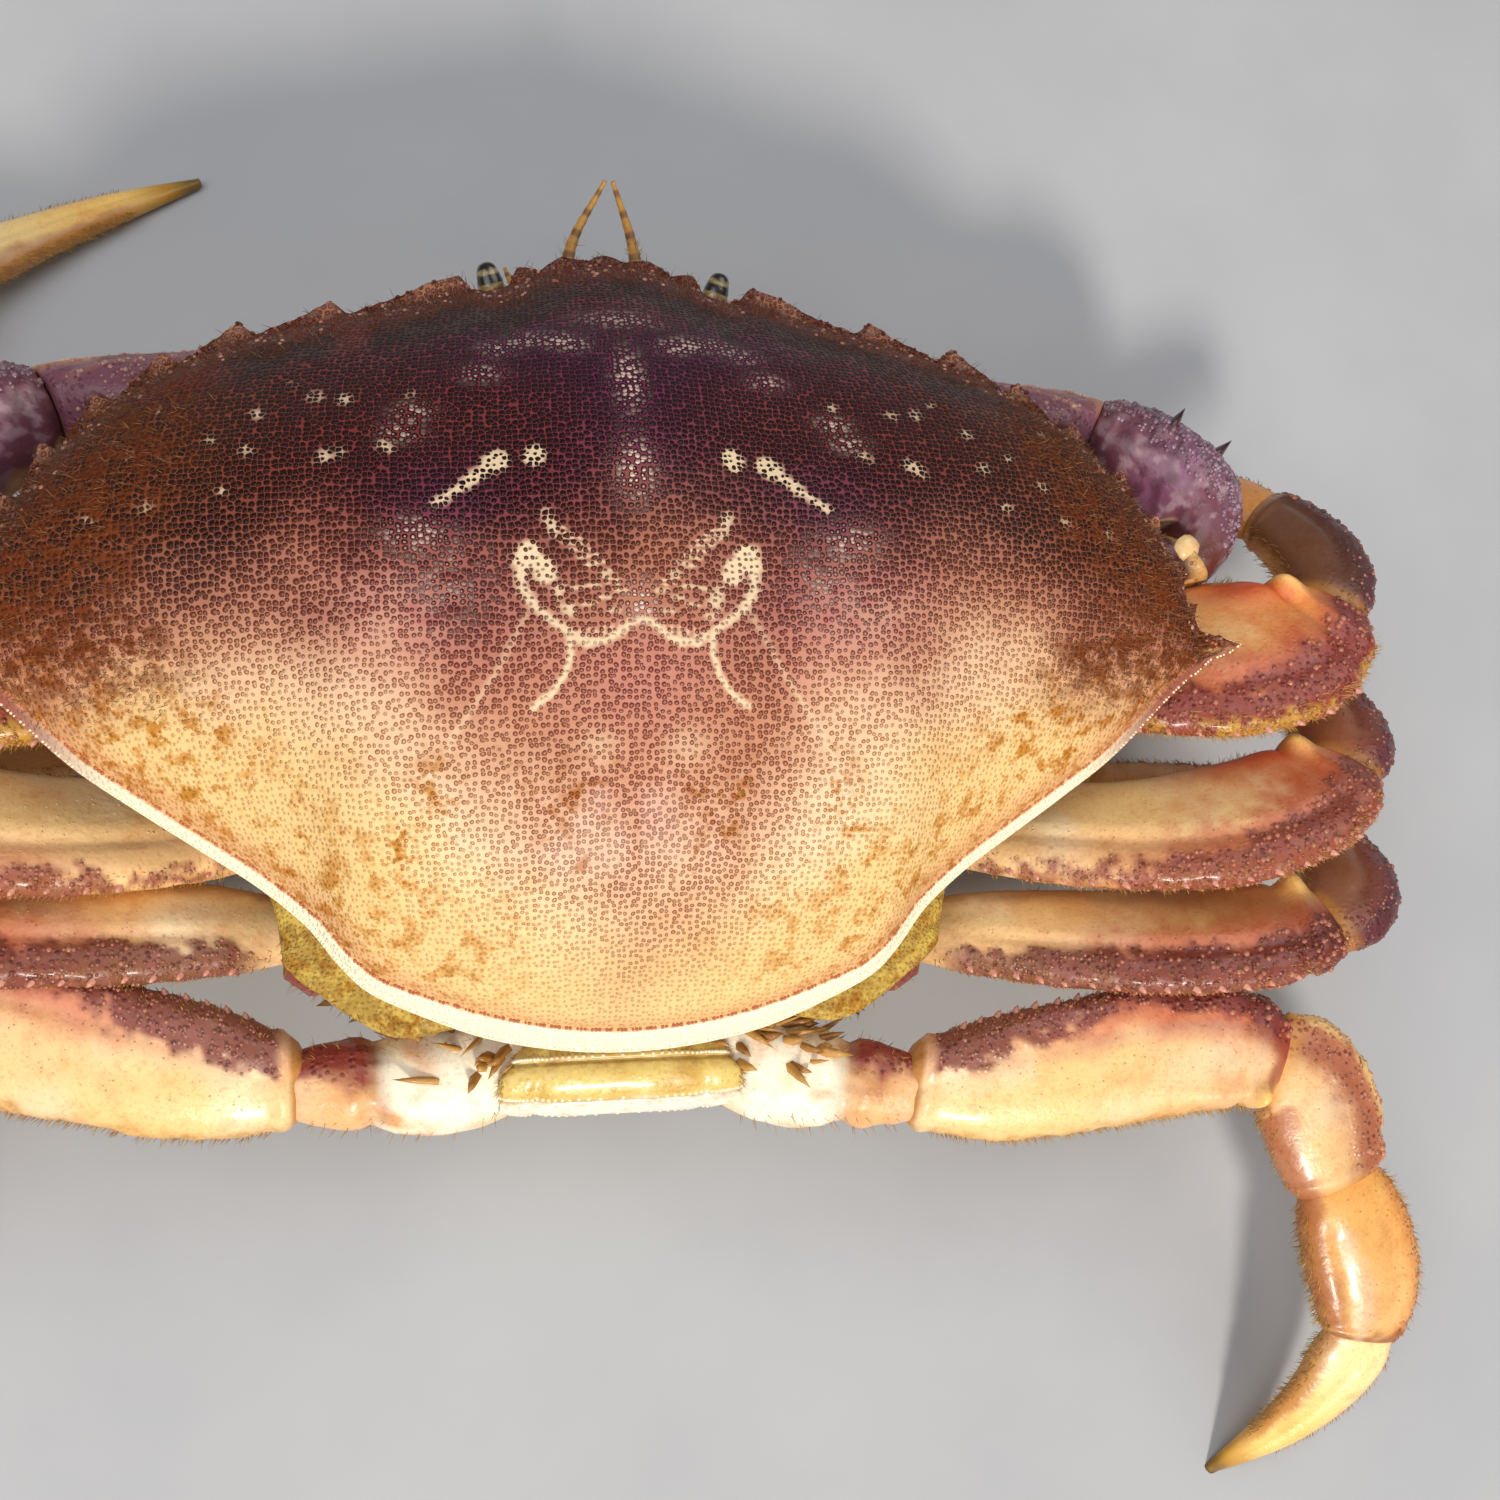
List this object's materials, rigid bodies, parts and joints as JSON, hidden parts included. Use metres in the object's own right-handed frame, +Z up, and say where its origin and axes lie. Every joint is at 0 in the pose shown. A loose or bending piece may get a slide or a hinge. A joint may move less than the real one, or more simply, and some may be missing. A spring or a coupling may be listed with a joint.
{
  "type": "dungeness crab",
  "caption": "Whole Dungeness crab, a still life-size model standing on its legs with the claws folded under the front of a wide domed shell.",
  "frame": {"origin": "bottom centre of the crab's bounding box, on the floor between the legs", "axes": "+Y to the crab's front, +Z up, +X to the crab's right-hand side of the view from behind"},
  "size_m": [0.2454, 0.212, 0.0698],
  "materials": {
    "carapace_shell": "mottled shell, dark purple-brown in front to cream behind, with small ring dots",
    "underside_shell": "cream shell of the belly, tail and mouth plates",
    "leg_shell": "glossy cream to orange shell with granular purple ridges",
    "leg_tip_shell": "yellow-orange shell of the last leg pieces",
    "claw_arm_shell": "granular purple and violet shell",
    "claw_shell": "reddish cream shell of the claws",
    "eye": "dark glossy eye on a short stalk",
    "feeler": "thin mottled yellow-brown feelers"
  },
  "bodies": {
    "root": {"carapace": "carapace_shell", "sternum": "underside_shell", "abdomen": "underside_shell", "eye_left": "eye", "antennule_left": "feeler", "antenna_left": "feeler", "maxilliped_left": "underside_shell", "cheliped_merus_left": "claw_arm_shell", "cheliped_carpus_left": "claw_arm_shell", "cheliped_propodus_left": "claw_shell", "cheliped_dactyl_left": "claw_shell", "leg2_base_left": "leg_shell", "leg2_merus_left": "leg_shell", "leg2_carpus_left": "leg_shell", "leg2_propodus_left": "leg_shell", "leg2_dactyl_left": "leg_tip_shell", "leg3_base_left": "leg_shell", "leg3_merus_left": "leg_shell", "leg3_carpus_left": "leg_shell", "leg3_propodus_left": "leg_shell", "leg3_dactyl_left": "leg_tip_shell", "leg4_base_left": "leg_shell", "leg4_merus_left": "leg_shell", "leg4_carpus_left": "leg_shell", "leg4_propodus_left": "leg_shell", "leg4_dactyl_left": "leg_tip_shell", "leg5_base_left": "leg_shell", "leg5_merus_left": "leg_shell", "leg5_carpus_left": "leg_shell", "leg5_propodus_left": "leg_shell", "leg5_dactyl_left": "leg_tip_shell", "eye_right": "eye", "antennule_right": "feeler", "antenna_right": "feeler", "maxilliped_right": "underside_shell", "cheliped_merus_right": "claw_arm_shell", "cheliped_carpus_right": "claw_arm_shell", "cheliped_propodus_right": "claw_shell", "cheliped_dactyl_right": "claw_shell", "leg2_base_right": "leg_shell", "leg2_merus_right": "leg_shell", "leg2_carpus_right": "leg_shell", "leg2_propodus_right": "leg_shell", "leg2_dactyl_right": "leg_tip_shell", "leg3_base_right": "leg_shell", "leg3_merus_right": "leg_shell", "leg3_carpus_right": "leg_shell", "leg3_propodus_right": "leg_shell", "leg3_dactyl_right": "leg_tip_shell", "leg4_base_right": "leg_shell", "leg4_merus_right": "leg_shell", "leg4_carpus_right": "leg_shell", "leg4_propodus_right": "leg_shell", "leg4_dactyl_right": "leg_tip_shell", "leg5_base_right": "leg_shell", "leg5_merus_right": "leg_shell", "leg5_carpus_right": "leg_shell", "leg5_propodus_right": "leg_shell", "leg5_dactyl_right": "leg_tip_shell"}
  },
  "joints": []
}
